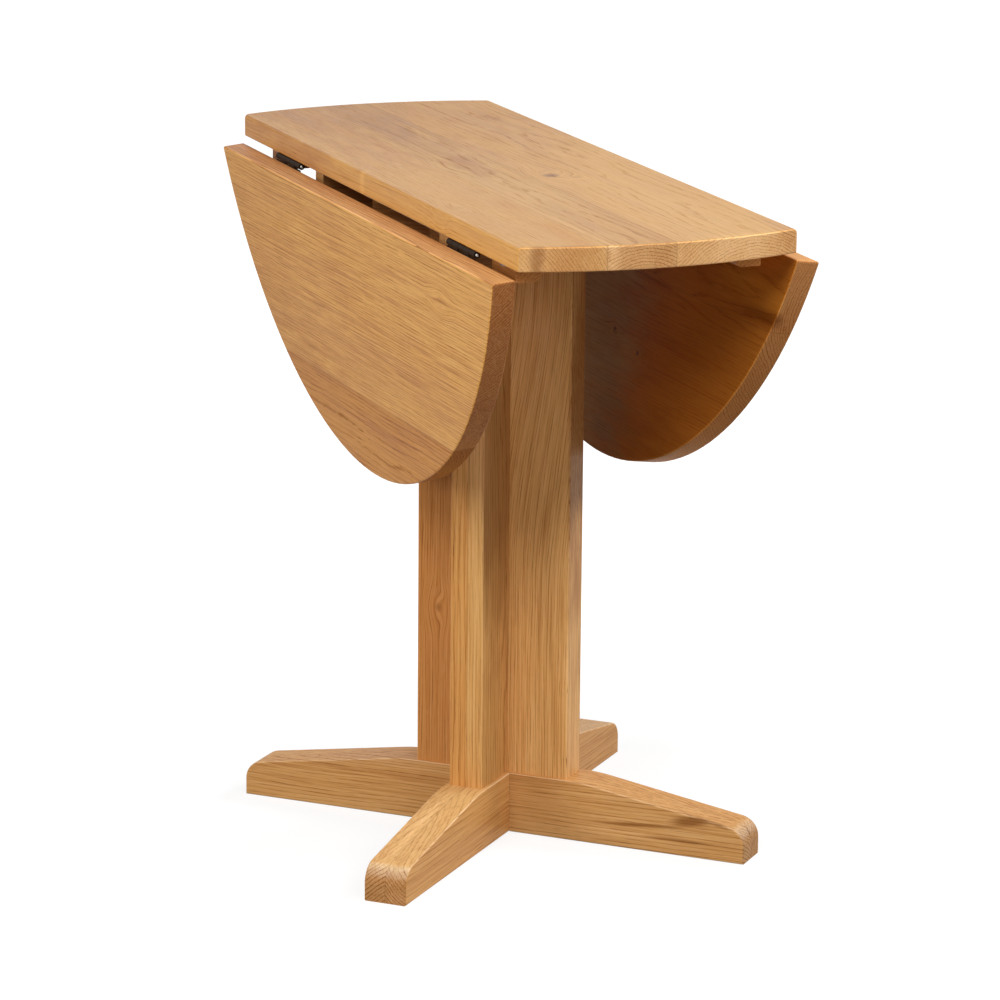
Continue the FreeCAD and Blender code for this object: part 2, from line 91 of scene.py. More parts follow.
class Graph:
    """Short calls for building a node tree. An operand is a socket, a number or a tuple."""

    def __init__(self, tree):
        self.tree = tree

    def node(self, kind, **settings):
        made = self.tree.nodes.new(kind)
        for name, value in settings.items():
            setattr(made, name, value)
        return made

    def feed(self, socket, operand):
        """Link a socket to another one, or set its value."""
        if isinstance(operand, bpy.types.NodeSocket):
            self.tree.links.new(operand, socket)
        else:
            socket.default_value = operand

    def feed_all(self, made, operands):
        """Feed a node's inputs in order."""
        for socket, operand in zip(made.inputs, operands):
            self.feed(socket, operand)

    def math(self, operation, *operands, clamp=False):
        made = self.node("ShaderNodeMath", operation=operation, use_clamp=clamp)
        self.feed_all(made, operands)
        return made.outputs[0]

    def vector(self, operation, *operands):
        made = self.node("ShaderNodeVectorMath", operation=operation)
        self.feed_all(made, operands)
        return made.outputs["Value" if operation in ("DOT_PRODUCT", "LENGTH") else "Vector"]

    def scale(self, vector, factor):
        made = self.node("ShaderNodeVectorMath", operation="SCALE")
        self.feed(made.inputs[0], vector)
        self.feed(made.inputs["Scale"], factor)
        return made.outputs["Vector"]

    def total(self, start, *terms):
        """Start, a socket or a number, plus each (weight, socket) product."""
        for weight, socket in terms:
            start = self.math("MULTIPLY_ADD", socket, weight, start)
        return start

    def split(self, vector):
        made = self.node("ShaderNodeSeparateXYZ")
        self.feed(made.inputs[0], vector)
        return made.outputs[0], made.outputs[1], made.outputs[2]

    def join(self, x, y, z):
        made = self.node("ShaderNodeCombineXYZ")
        self.feed_all(made, (x, y, z))
        return made.outputs[0]

    def smooth(self, value, low, high, start=0.0, end=1.0):
        """Smooth step from start at low to end at high."""
        made = self.node("ShaderNodeMapRange", interpolation_type="SMOOTHSTEP")
        self.feed_all(made, (value, low, high, start, end))
        return made.outputs[0]

    def noise(self, vector, stretch, detail=1.0, roughness=0.5):
        """Noise of a vector scaled by stretch: its value and its three channels."""
        made = self.node("ShaderNodeTexNoise", noise_dimensions="3D")
        self.feed(made.inputs["Vector"], self.vector("MULTIPLY", vector, stretch))
        made.inputs["Scale"].default_value = 1.0
        made.inputs["Detail"].default_value = detail
        made.inputs["Roughness"].default_value = roughness
        return made.outputs["Fac"], made.outputs["Color"]

    def mix(self, share, first, second, blend="MIX"):
        """Mix of two colours, each a socket or a tuple."""
        made = self.node("ShaderNodeMix", data_type="RGBA", blend_type=blend)
        self.feed(made.inputs[0], share)
        for place, shade in zip(MIX_COLOURS, (first, second)):
            self.feed(made.inputs[place], (*shade, 1.0) if isinstance(shade, tuple) else shade)
        return made.outputs[MIXED_COLOUR]

    def tint(self, share, wood, tint):
        """Colour multiplied by a tint, as far as share says."""
        return self.mix(share, wood, self.mix(1.0, wood, tint, blend="MULTIPLY"))

    def mix_vector(self, share, first, second):
        made = self.node("ShaderNodeMix", data_type="VECTOR")
        self.feed(made.inputs[0], share)
        for place, vector in zip(MIX_VECTORS, (first, second)):
            self.feed(made.inputs[place], vector)
        return made.outputs[MIXED_VECTOR]

    def ramp(self, value, stops):
        """Colour ramp from (place, colour) stops."""
        made = self.node("ShaderNodeValToRGB")
        self.feed(made.inputs[0], value)
        while len(made.color_ramp.elements) < len(stops):
            made.color_ramp.elements.new(1.0)
        for element, (place, shade) in zip(made.color_ramp.elements, stops):
            element.position = place
            element.color = (*shade, 1.0)
        return made.outputs[0]

    def relief(self, shader, height, strength, distance):
        """Bump the shader's surface by a height."""
        bump = self.node("ShaderNodeBump")
        bump.inputs["Strength"].default_value = strength
        bump.inputs["Distance"].default_value = distance
        self.feed(bump.inputs["Height"], height)
        self.feed(shader.inputs["Normal"], bump.outputs[0])


def new_material(name):
    """An empty material with its graph, its shader and the outputs of its coordinates node."""
    material = bpy.data.materials.new(name)
    material.use_nodes = True
    graph = Graph(material.node_tree)
    shader = material.node_tree.nodes["Principled BSDF"]
    place = graph.node("ShaderNodeTexCoord").outputs
    return material, graph, shader, place


def dress(node, material):
    mesh = nodes[node].data
    mesh.materials.clear()
    mesh.materials.append(material)


# Oak

LIGHT_WOOD = colour(238, 186, 118)
PLAIN_WOOD = colour(222, 164, 94)
BROWN_WOOD = colour(186, 122, 62)
DARK_WOOD = colour(112, 64, 28)
PORE_BROWN = colour(132, 80, 38)
RAY_PALE = colour(240, 196, 138)
GLUE_BROWN = colour(120, 74, 38)
KNOT_BROWN = colour(112, 58, 26)
WOOD_STOPS = [(0.0, DARK_WOOD), (0.30, BROWN_WOOD), (0.60, PLAIN_WOOD), (0.95, LIGHT_WOOD)]

# Tints multiply the wood's colour. First those of whole staves
PLAIN = (1.0, 1.0, 1.0)
TOP_HONEY = (0.76, 0.72, 0.55)
TOP_PALE = (0.82, 0.81, 0.68)
TOP_TAN = (0.74, 0.72, 0.60)
HONEY = (0.95, 0.89, 0.66)
AMBER = (0.76, 0.60, 0.30)
ORANGE = (0.86, 0.78, 0.70)
STRAW = (0.90, 0.90, 0.92)
REDDISH = (0.77, 0.62, 0.54)
WHEAT = (1.03, 1.06, 1.16)
TAN = (0.83, 0.82, 0.88)
# Pale bluish tint of the front and back foot: wood tone, partly painted sheen standing in for the reflection on
# their tops
FOOT_TAN_AND_PAINTED_SHEEN = (0.93, 1.03, 1.25)
PALE = (1.08, 1.10, 1.14)

# Tints of patches and streaks: the wood's own marks, and painted light, shade and reflection
# Painted shade: the far ends of the left leaf and of the top darkened, as their light falls off
PAINTED_FAR_SHADE = (0.86, 0.79, 0.71)
PAINTED_TOP_FAR_SHADE = (0.82, 0.72, 0.46)
SMOKY = (0.87, 0.80, 0.72)
DARK_FIGURE = (0.50, 0.42, 0.36)
# Painted shadow down the middle of the column's main board, in the corner by the right board
PAINTED_CORNER_SHADOW = (0.64, 0.57, 0.53)
# A reddish patch on the top's near end, and painted shadow on the end face of the column's right board
ROSE_PATCH_AND_PAINTED_SHADOW = (0.58, 0.48, 0.42)
WARM_PATCH = (0.93, 0.84, 0.68)
SAPWOOD = (1.16, 1.22, 1.34)
STREAK = (0.48, 0.37, 0.27)
CRACK = (0.30, 0.24, 0.20)
LEAF_SHADE = (0.90, 0.86, 0.88)
END_WARM = (0.86, 0.77, 0.69)
# Darkens the far part of the top's left side as painted shade, and the inner half of the left leaf's top edge
SIDE_DARKENING_AND_PAINTED_FAR_SHADE = (0.84, 0.76, 0.78)
# Painted light: the column's upper parts lightened where the top shades them
PAINTED_UPPER_LIGHT = (1.22, 1.22, 1.38)
PAINTED_UPPER_LIGHT_TAN = (1.12, 1.12, 1.25)
# Painted reflection, light and shade on the right leaf's inner face
PAINTED_GREY_REFLECTION = (1.04, 1.60, 4.0)
PAINTED_ORANGE_LIGHT = (1.34, 1.55, 1.60)
PAINTED_LOW_SHADE = (0.72, 0.68, 0.54)
# Painted shade darkening the back foot and the left foot
PAINTED_BACK_SHADE = (0.91, 0.89, 0.95)
# Painted shade: a browner tone on the shaded upper end face of the column's right board
PAINTED_SHADE_BROWN = (1.06, 0.96, 0.70)

# Tints of a board's ends and sides, of its underside, which carries a darker tone with painted shade, and painted
# highlights on its rounded arrises
STRIP_END = (1.10, 1.18, 1.78)
STRIP_SIDE = (1.12, 1.07, 0.87)
LEFT_END = (0.57, 0.45, 0.57)
RIGHT_END = (0.66, 0.56, 0.76)
HINGE_SIDE = (1.08, 1.06, 1.46)
RIM_LOW = (0.76, 0.64, 0.70)
# Undersides: a darker tone of the wood, mostly painted shade of the table's own shadow
PAINTED_UNDER_SHADE_AND_TONE = (0.76, 0.49, 0.24)
FOOT_END = (0.74, 0.62, 0.56)
PINK_END = (0.83, 0.85, 0.99)
FOOT_SIDE = (1.02, 0.90, 0.78)
ROSY_SIDE = (0.96, 1.0, 1.10)
# Painted shade on the long sides of the battens deep under the top
PAINTED_SHADE_SIDE = (0.45, 0.38, 0.32)
# Painted highlights: pale tints on the rounded arrises and on the feet's noses, standing in for lamp reflections
PAINTED_ARRIS_HIGHLIGHT = (1.22, 1.28, 1.40)
PAINTED_BRIGHT_ARRIS_HIGHLIGHT = (1.40, 1.46, 1.56)
PAINTED_NOSE_HIGHLIGHT = (1.16, 1.42, 2.1)

# Noise of the figure, in cycles per metre along the log, across it and through it
SLOW_GRAIN = (1.9, 8.0, 8.0)
RIPPLE_GRAIN = (9.0, 70.0, 70.0)
LONG_PORE_GRAIN = (24.0, 880.0, 880.0)
SHORT_PORE_GRAIN = (80.0, 1100.0, 1100.0)
STRAND_GRAIN = (5.0, 250.0, 250.0)
HAIR_GRAIN = (9.0, 560.0, 560.0)
MOTTLE_GRAIN = (5.0, 48.0, 48.0)
RAGGED_GRAIN = (14.0, 60.0, 60.0)
# Scales of a ray's place along the log, round the pith and out from it
RAY_LENGTH_SCALE = 60.0
RAY_ANGLE_SCALE = 120.0
RAY_RADIUS_SCALE = 45.0
# How far a seed moves the noise
SEED_STEP = (3.1, 1.7, 2.3)
# Waviness of the rings in metres, and their uneven widths
RIPPLE_DEPTH = 0.0040
WIDTH_SCALE = 60.0
WIDTH_SEED_STRETCH = (1.0, 7.0, 1.0)
WIDTH_SWING = 2.2
# Middle of a noise's range
NOISE_MIDDLE = 0.5
# Early wood over a ring's width: where it is full, starts to fade and ends. Its strength is uneven
EARLY_FULL = 0.06
EARLY_FADE = 0.08
EARLY_GONE = 0.34
EARLY_LEAST = 0.5
EARLY_SPREAD = 0.8
# Noise values between which a dash, ray or line appears
LONG_PORE_LIMITS = (0.48, 0.60)
SHORT_PORE_LIMITS = (0.52, 0.64)
RAY_LIMITS = (0.58, 0.74)
STRAND_LIMITS = (0.34, 0.66)
HAIR_LIMITS = (0.36, 0.64)
# Strength of pores everywhere, and what early wood adds
LONG_PORES = 0.12
LONG_PORES_EARLY = 0.9
SHORT_PORES = 0.16
SHORT_PORES_EARLY = 0.3
# Shares of strands and hairs in the fibres
STRAND_WEIGHT = 0.22
HAIR_WEIGHT = 0.78

# Parts of the figure in the wood's tone, about a middle tone
MIDDLE_TONE = 0.66
FIBRE_TONE = 0.34
RING_TONE = 0.10
MOTTLE_TONE = 0.22
SLOW_TONE = 0.42
EARLY_TONE = -0.20
END_EARLY_TONE = -0.14
# How strongly rays, pores and glue lines are drawn, and what end grain adds
RAY_SHARE = 0.10
END_RAY_SHARE = 0.20
PORE_SHARE = 0.42
END_PORE_SHARE = 0.20
GLUE_SHARE = 0.35
GLUE_CORE = 0.0001
GLUE_EDGE = 0.0007
# Soft rim of stains and knots: how ragged it is, and how much of the radius is full
RIM_RAGGED = 1.1
SPOT_CORE = 0.15
# How squarely a surface faces a way, from where that way's tint starts to where it is full
FACE_LIMITS = (0.35, 0.95)
ARRIS_LIMITS = (0.25, 0.6)
# Parted grain, eye and dark heart of a knot, along and across the grain in sizes of the knot
KNOT_BEND = (5.0, 2.6)
KNOT_EYE = (2.6, 1.3)
KNOT_HEART = (0.9, 0.8)
KNOT_PART = 0.7

# Gloss and relief of the finish
OAK_SHEEN = 0.10
DULL_SHEEN = 0.02
TOP_SHEEN = 0.16
OAK_ROUGH = 0.36
TOP_ROUGH = 0.28
PORE_ROUGH = 0.16
MOTTLE_ROUGH = 0.12
END_ROUGH = 0.12
OAK_IOR = 1.47
OAK_RELIEF = 0.30
OAK_RELIEF_DEPTH = 0.0003
PLAIN_HEIGHT = 0.5
PORE_SINK = 0.6
EARLY_SINK = 0.1
FIBRE_RISE = 0.15

# A stave is one board of a glued-up panel: its far edge across the panel, where its pith lies,
# its tint, and a seed for its figure
Stave = namedtuple("Stave", "edge pith_across pith_deep tint seed")
# A knot or swirl of the grain: place along and across, its size, and how dark its heart is
Knot = namedtuple("Knot", "along across size dark")
# Stains carry the wood's own marks, and painted light, shade or reflection
# A soft patch of another tint: place, half lengths, tint and strength. It may lean across the board
# as it runs along it, and with a depth it stays near one depth, which may rise along the board
Stain = namedtuple("Stain", "along across reach width tint strength lean deep depth rise",
                   defaults=(1.0, 0.0, 0.0, None, 0.0))
# A sweep of the grain sideways: where along the board it starts and ends, and its shift
Sweep = namedtuple("Sweep", "start end shift")
# Tints of a board's end grain, the sides where its width starts and ends, and its underside, which darkens with
# painted shade
Faces = namedtuple("Faces", "end first_side last_side under", defaults=(PLAIN, PLAIN, PLAIN, PLAIN))
# Figure of a board: ring width and wander of the pith in metres, and the strength of its lines,
# of its slow clouds and of the lines on its end grain
Grain = namedtuple("Grain", "ring wander contrast clouds end_lines", defaults=(0.0034, 0.03, 1.0, 1.0, 1.0))
# Gloss of a board
Finish = namedtuple("Finish", "sheen rough", defaults=(OAK_SHEEN, OAK_ROUGH))

FIGURE_INPUTS = {"Place": "Vector", "Seed": "Float", "Ring": "Float", "Wander": "Float"}
FIGURE_PARTS = ("Early", "RingTone", "Pores", "Rays", "Fibre", "Mottle", "Slow")


def log_position(g, place, field, wander):
    """Slow drift of a log, and a place in it along the pith, round it and out from it."""
    slow, slow_parts = g.noise(field, SLOW_GRAIN, detail=2.0)
    drift = g.vector("SUBTRACT", slow_parts, (NOISE_MIDDLE, NOISE_MIDDLE, NOISE_MIDDLE))
    drift = g.vector("MULTIPLY", drift, g.join(0.0, wander, wander))
    along, across, deep = g.split(g.vector("ADD", place, drift))
    ripple, _ = g.noise(field, RIPPLE_GRAIN, detail=3.0, roughness=0.6)
    radius = g.vector("LENGTH", g.join(0.0, across, deep))
    radius = g.total(radius, (RIPPLE_DEPTH, g.math("SUBTRACT", ripple, NOISE_MIDDLE)))
    return slow, along, g.math("ARCTAN2", deep, across), radius


def growth_rings(g, radius, ring, seed):
    """Dark early wood at the start of each ring, and a tone for each ring."""
    width_place = g.join(g.math("MULTIPLY", radius, WIDTH_SCALE), seed, 0.0)
    widths, _ = g.noise(width_place, WIDTH_SEED_STRETCH)
    count = g.math("ADD", g.math("DIVIDE", radius, ring), g.math("MULTIPLY", widths, WIDTH_SWING))
    phase = g.math("FRACT", count)
    early = g.math("SUBTRACT", g.smooth(phase, 0.0, EARLY_FULL), g.smooth(phase, EARLY_FADE, EARLY_GONE))
    white = g.node("ShaderNodeTexWhiteNoise", noise_dimensions="2D")
    g.feed(white.inputs["Vector"], g.join(g.math("FLOOR", count), seed, 0.0))
    tone = white.outputs["Value"]
    return g.math("MULTIPLY", early, g.math("MULTIPLY_ADD", tone, EARLY_SPREAD, EARLY_LEAST)), tone


def pore_dashes(g, field, early):
    """Long dashes of open pores, mostly in the early wood, and short ones nearly everywhere."""
    long_dots, _ = g.noise(field, LONG_PORE_GRAIN, detail=1.0)
    short_dots, _ = g.noise(field, SHORT_PORE_GRAIN, detail=1.0)
    long_dash = g.smooth(long_dots, *LONG_PORE_LIMITS)
    short_dash = g.smooth(short_dots, *SHORT_PORE_LIMITS)
    long_share = g.math("MULTIPLY_ADD", early, LONG_PORES_EARLY, LONG_PORES)
    short_share = g.math("MULTIPLY_ADD", early, SHORT_PORES_EARLY, SHORT_PORES)
    return g.math("MULTIPLY_ADD", short_dash, short_share, g.math("MULTIPLY", long_dash, long_share))


def ray_flecks(g, along, angle, radius):
    """Pale rays that run out from the pith."""
    ray_place = g.join(g.math("MULTIPLY", along, RAY_LENGTH_SCALE),
                       g.math("MULTIPLY", angle, RAY_ANGLE_SCALE),
                       g.math("MULTIPLY", radius, RAY_RADIUS_SCALE))
    ray_noise, _ = g.noise(ray_place, (1.0, 1.0, 1.0), detail=1.0)
    return g.smooth(ray_noise, *RAY_LIMITS)


def fibre_lines(g, field):
    """Fine lines along the log: some strands, mostly hairs."""
    strands, _ = g.noise(field, STRAND_GRAIN, detail=2.0, roughness=0.6)
    hairs, _ = g.noise(field, HAIR_GRAIN, detail=2.0, roughness=0.6)
    return g.total(0.0, (STRAND_WEIGHT, g.smooth(strands, *STRAND_LIMITS)),
                   (HAIR_WEIGHT, g.smooth(hairs, *HAIR_LIMITS)))


def oak_group():
    """Shared figure of oak about a pith along x: rings, pore dashes, rays, fibres and slow mottling."""
    tree = bpy.data.node_groups.new("oak_figure", "ShaderNodeTree")
    for name, kind in FIGURE_INPUTS.items():
        tree.interface.new_socket(name, in_out="INPUT", socket_type="NodeSocket" + kind)
    for name in FIGURE_PARTS:
        tree.interface.new_socket(name, in_out="OUTPUT", socket_type="NodeSocketFloat")
    g = Graph(tree)
    given = g.node("NodeGroupInput").outputs
    place, seed = given["Place"], given["Seed"]
    field = g.vector("ADD", place, g.scale(SEED_STEP, seed))
    slow, along, angle, radius = log_position(g, place, field, given["Wander"])
    early, ring_tone = growth_rings(g, radius, given["Ring"], seed)
    pores = pore_dashes(g, field, early)
    rays = ray_flecks(g, along, angle, radius)
    fibre = fibre_lines(g, field)
    mottle, _ = g.noise(field, MOTTLE_GRAIN, detail=3.0, roughness=0.58)
    taken = g.node("NodeGroupOutput").inputs
    for name, socket in zip(FIGURE_PARTS, (early, ring_tone, pores, rays, fibre, mottle, slow)):
        g.feed(taken[name], socket)
    return tree


OAK_FIGURE = oak_group()


def board_place(g, place, origin, along, across):
    """Place in a board: x along its grain, y across it and z through it."""
    turn = Matrix((along, across, along.cross(across)))
    mapping = g.node("ShaderNodeMapping", vector_type="POINT")
    g.feed(mapping.inputs["Vector"], place["Object"])
    mapping.inputs["Rotation"].default_value = turn.to_euler("XYZ")
    mapping.inputs["Location"].default_value = -(turn @ origin)
    return mapping.outputs[0]


def stave_values(g, across, staves):
    """Pith and seed, tint and glue lines of the stave at a place across the panel."""
    first = staves[0]
    pith = (first.pith_across, first.pith_deep, first.seed)
    tint = first.tint
    glue = 0.0
    for before, stave in zip(staves, staves[1:]):
        past = g.math("GREATER_THAN", across, before.edge)
        pith = g.mix_vector(past, pith, (stave.pith_across, stave.pith_deep, stave.seed))
        tint = g.mix(past, tint, stave.tint)
        away = g.math("ABSOLUTE", g.math("SUBTRACT", across, before.edge))
        glue = g.math("ADD", glue, g.smooth(away, GLUE_CORE, GLUE_EDGE, 1.0, 0.0))
    return pith, tint, glue


def soft_spot(g, along, across, spot_along, spot_across, reach, width, ragged, deep=0.0):
    """1 in the middle of a soft ellipse and 0 outside it, with a ragged rim."""
    x = g.math("DIVIDE", g.math("SUBTRACT", along, spot_along), reach)
    y = g.math("DIVIDE", g.math("SUBTRACT", across, spot_across), width)
    far = g.vector("LENGTH", g.join(x, y, deep))
    far = g.total(far, (RIM_RAGGED, g.math("SUBTRACT", ragged, NOISE_MIDDLE)))
    return g.smooth(far, SPOT_CORE, 1.0, 1.0, 0.0)


def stain_share(g, spot, stain, ragged):
    """How much of a stain a place in the board has."""
    x, y, z = g.split(spot)
    away = g.math("SUBTRACT", x, stain.along)
    deep = 0.0
    if stain.lean:
        y = g.math("MULTIPLY_ADD", away, -stain.lean, y)
    if stain.depth:
        z = g.math("MULTIPLY_ADD", away, -stain.rise, z)
        deep = g.math("DIVIDE", g.math("SUBTRACT", z, stain.deep), stain.depth)
    share = soft_spot(g, x, y, stain.along, stain.across, stain.reach, stain.width, ragged, deep)
    return g.math("MULTIPLY", share, stain.strength)


def face_shares(g, place, along, across, soft_sides):
    """How much of a board's end grain, two sides, underside and rounded arris a place lies on."""
    normal = place["Normal"]
    to_end = g.math("ABSOLUTE", g.vector("DOT_PRODUCT", normal, tuple(along)))
    to_last = g.vector("DOT_PRODUCT", normal, tuple(across))
    to_under = g.vector("DOT_PRODUCT", normal, tuple(along.cross(across)))
    facings = (to_end, g.math("MULTIPLY", to_last, -1.0), to_last, to_under)
    level = to_end
    if not soft_sides:
        level = g.math("SQRT", g.math("SUBTRACT", 1.0, g.math("MULTIPLY", to_under, to_under)))
    edge = g.math("MINIMUM", g.math("ABSOLUTE", to_under), level)
    return [g.smooth(facing, *FACE_LIMITS) for facing in facings], g.smooth(edge, *ARRIS_LIMITS)


def knot_spot(g, along, across, knot, shape, ragged):
    """Soft ellipse about a knot, with its shape in sizes of the knot."""
    reach, width = (knot.size * times for times in shape)
    return soft_spot(g, along, across, knot.along, knot.across, reach, width, ragged)


def knot_marks(g, spot, knots, ragged):
    """Place across with the grain parted round the knots, and how dark their hearts are."""
    x, y, _ = g.split(spot)
    bent = y
    heart = 0.0
    for knot in knots:
        bend = knot_spot(g, x, y, knot, KNOT_BEND, NOISE_MIDDLE)
        away = g.math("SUBTRACT", bent, knot.across)
        bent = g.math("MULTIPLY_ADD", away, g.math("MULTIPLY", bend, -KNOT_PART), bent)
        eye = knot_spot(g, x, y, knot, KNOT_EYE, ragged)
        bent = g.math("MULTIPLY_ADD", eye, knot.size * knot.dark, bent)
        core = knot_spot(g, x, y, knot, KNOT_HEART, ragged)
        heart = g.math("MULTIPLY_ADD", core, knot.dark, heart)
    return bent, heart


def figure_parts(g, board_spot, pith, grain):
    """Outputs of the oak figure at a place in a board, whose pith is a tuple or a socket."""
    if isinstance(pith, tuple):
        pith_across, pith_deep, seed = pith
        pith_place = (0.0, pith_across, pith_deep)
    else:
        pith_across, pith_deep, seed = g.split(pith)
        pith_place = g.join(0.0, pith_across, pith_deep)
    figure = g.node("ShaderNodeGroup", node_tree=OAK_FIGURE)
    g.feed(figure.inputs["Place"], g.vector("SUBTRACT", board_spot, pith_place))
    g.feed(figure.inputs["Seed"], seed)
    figure.inputs["Ring"].default_value = grain.ring
    figure.inputs["Wander"].default_value = grain.wander
    return figure.outputs


def wood_colour(g, seen, on_end, grain):
    """Bare wood: fibres, rings and clouds as tones of brown, with rays and pores drawn over them."""
    weights = {"Fibre": FIBRE_TONE * grain.contrast, "RingTone": RING_TONE * grain.contrast,
               "Mottle": MOTTLE_TONE * grain.clouds, "Slow": SLOW_TONE * grain.clouds}
    level = MIDDLE_TONE - NOISE_MIDDLE * sum(weights.values())
    tone = g.total(level, *((weight, seen[part]) for part, weight in weights.items()))
    early_weight = g.math("MULTIPLY_ADD", on_end, END_EARLY_TONE * grain.end_lines,
                          EARLY_TONE * grain.contrast)
    wood = g.ramp(g.math("MULTIPLY_ADD", seen["Early"], early_weight, tone), WOOD_STOPS)
    ray_share = g.math("MULTIPLY", seen["Rays"], g.math("MULTIPLY_ADD", on_end, END_RAY_SHARE, RAY_SHARE))
    wood = g.mix(ray_share, wood, RAY_PALE)
    pore_weight = g.math("MULTIPLY_ADD", on_end, END_PORE_SHARE * grain.end_lines,
                         PORE_SHARE * grain.contrast)
    return g.mix(g.math("MULTIPLY", seen["Pores"], pore_weight, clamp=True), wood, PORE_BROWN)


def oak_finish(g, shader, seen, on_end, finish):
    """Satin gloss, duller in the pores and on end grain, with the pores sunk a little."""
    matt = g.total(finish.rough, (PORE_ROUGH, seen["Pores"]), (MOTTLE_ROUGH, seen["Mottle"]))
    g.feed(shader.inputs["Roughness"], g.math("MULTIPLY_ADD", on_end, END_ROUGH, matt))
    height = g.total(PLAIN_HEIGHT, (-PORE_SINK, seen["Pores"]), (FIBRE_RISE, seen["Fibre"]),
                     (-EARLY_SINK, seen["Early"]))
    g.relief(shader, height, OAK_RELIEF, OAK_RELIEF_DEPTH)
    shader.inputs["IOR"].default_value = OAK_IOR
    shader.inputs["Specular IOR Level"].default_value = finish.sheen


def oak(name, origin, along, across, staves, knots=(), stains=(), faces=Faces(), sweep=None,
        grain=Grain(), finish=Finish(), arris=PAINTED_ARRIS_HIGHLIGHT, soft_sides=False):
    """Satin oak for one board or glued panel, cut from logs that lie along its grain."""
    material, g, shader, place = new_material(name)
    spot = board_place(g, place, origin, along, across)
    x, y, z = g.split(spot)
    ragged, _ = g.noise(spot, RAGGED_GRAIN, detail=2.0)
    bent, heart = knot_marks(g, spot, knots, ragged)
    if sweep:
        bent = g.math("MULTIPLY_ADD", g.smooth(x, sweep.start, sweep.end), -sweep.shift, bent)
    pith, tint, glue = stave_values(g, y, staves)
    seen = figure_parts(g, g.join(x, bent, z), pith, grain)
    on_faces, on_arris = face_shares(g, place, along, across, soft_sides)
    on_end = on_faces[0]

    wood = wood_colour(g, seen, on_end, grain)
    wood = g.mix(1.0, wood, tint, blend="MULTIPLY")
    for stain in stains:
        wood = g.tint(stain_share(g, spot, stain, ragged), wood, stain.tint)
    # Face tints, with painted shade on undersides and some sides, and a painted highlight on rounded arrises
    for share, face_tint in (*zip(on_faces, faces), (on_arris, arris)):
        if face_tint != PLAIN:
            wood = g.tint(share, wood, face_tint)
    if knots:
        wood = g.mix(g.math("MINIMUM", heart, 1.0), wood, KNOT_BROWN)
    if len(staves) > 1:
        wood = g.mix(g.math("MULTIPLY", glue, GLUE_SHARE), wood, GLUE_BROWN)
    g.feed(shader.inputs["Base Color"], wood)
    oak_finish(g, shader, seen, on_end, finish)
    return material


# Boards of the top

def strip_staves():
    return [
        Stave(edge=-0.0655, pith_across=-0.24, pith_deep=0.10, tint=TOP_HONEY, seed=1.0),
        Stave(edge=0.008, pith_across=-0.026, pith_deep=0.06, tint=TOP_TAN, seed=2.0),
        Stave(edge=0.2, pith_across=0.095, pith_deep=0.10, tint=TOP_PALE, seed=3.0),
    ]


def strip_knots():
    """One dark knot with a swirl beside it, and two pale swirls."""
    return [
        Knot(along=-0.062, across=0.032, size=0.016, dark=0.75),
        Knot(along=-0.080, across=0.054, size=0.010, dark=0.25),
        Knot(along=0.015, across=-0.050, size=0.014, dark=0.1),
        Knot(along=-0.204, across=-0.130, size=0.012, dark=0.1),
    ]


def strip_face_stains():
    """Smoky heartwood along the middle, warm figure and sapwood nearer the front."""
    return [
        Stain(along=0.16, across=-0.034, reach=0.38, width=0.042, tint=SMOKY, strength=0.75),
        Stain(along=0.34, across=-0.034, reach=0.22, width=0.042, tint=SMOKY, strength=0.5),
        Stain(along=-0.37, across=-0.082, reach=0.10, width=0.022, tint=WARM_PATCH, strength=0.8),
        Stain(along=-0.21, across=-0.080, reach=0.06, width=0.018, tint=WARM_PATCH, strength=0.8),
        Stain(along=0.034, across=-0.033, reach=0.10, width=0.022, tint=SMOKY),
        Stain(along=-0.35, across=-0.0605, reach=0.13, width=0.006, tint=SAPWOOD, strength=0.6),
        Stain(along=-0.27, across=-0.040, reach=0.15, width=0.026, tint=LEAF_SHADE),
        Stain(along=-0.088, across=0.050, reach=0.020, width=0.022, tint=SAPWOOD, strength=0.5),
    ]


def strip_edge_stains():
    """Pale and warm spots of the near end, a pale spot and painted far shade on the left side, and painted shade
    on the far end.
    """
    return [
        Stain(along=-0.450, across=-0.058, reach=0.012, width=0.010, tint=SAPWOOD),
        Stain(along=-0.440, across=0.085, reach=0.020, width=0.085, tint=SAPWOOD, strength=0.6),
        Stain(along=-0.438, across=-0.105, reach=0.016, width=0.036, tint=END_WARM),
        Stain(along=-0.432, across=-0.135, reach=0.014, width=0.011, tint=ROSE_PATCH_AND_PAINTED_SHADOW, strength=0.9),
        Stain(along=0.0275, across=-0.156, reach=0.012, width=0.016, tint=SAPWOOD),
        # Painted shade on the far part of the left side
        Stain(along=0.22, across=-0.157, reach=0.26, width=0.010, tint=SIDE_DARKENING_AND_PAINTED_FAR_SHADE),
        # Painted shade darkening the far end of the top
        Stain(along=0.46, across=0.0, reach=0.55, width=0.40, tint=PAINTED_TOP_FAR_SHADE),
    ]


def strip_oak():
    return oak(
        "oak_centre_strip", TOP_MIDDLE, LONG, SIDE, strip_staves(), strip_knots(),
        stains=strip_face_stains() + strip_edge_stains(),
        # Painted shade on the underside
        faces=Faces(end=STRIP_END, first_side=STRIP_SIDE, last_side=STRIP_SIDE, under=PAINTED_UNDER_SHADE_AND_TONE),
        grain=Grain(ring=0.0030, wander=0.02, contrast=0.64, clouds=1.8, end_lines=1.3),
        # Painted highlight along the top's rounded arrises
        finish=Finish(sheen=TOP_SHEEN, rough=TOP_ROUGH), arris=PAINTED_BRIGHT_ARRIS_HIGHLIGHT, soft_sides=True,
    )


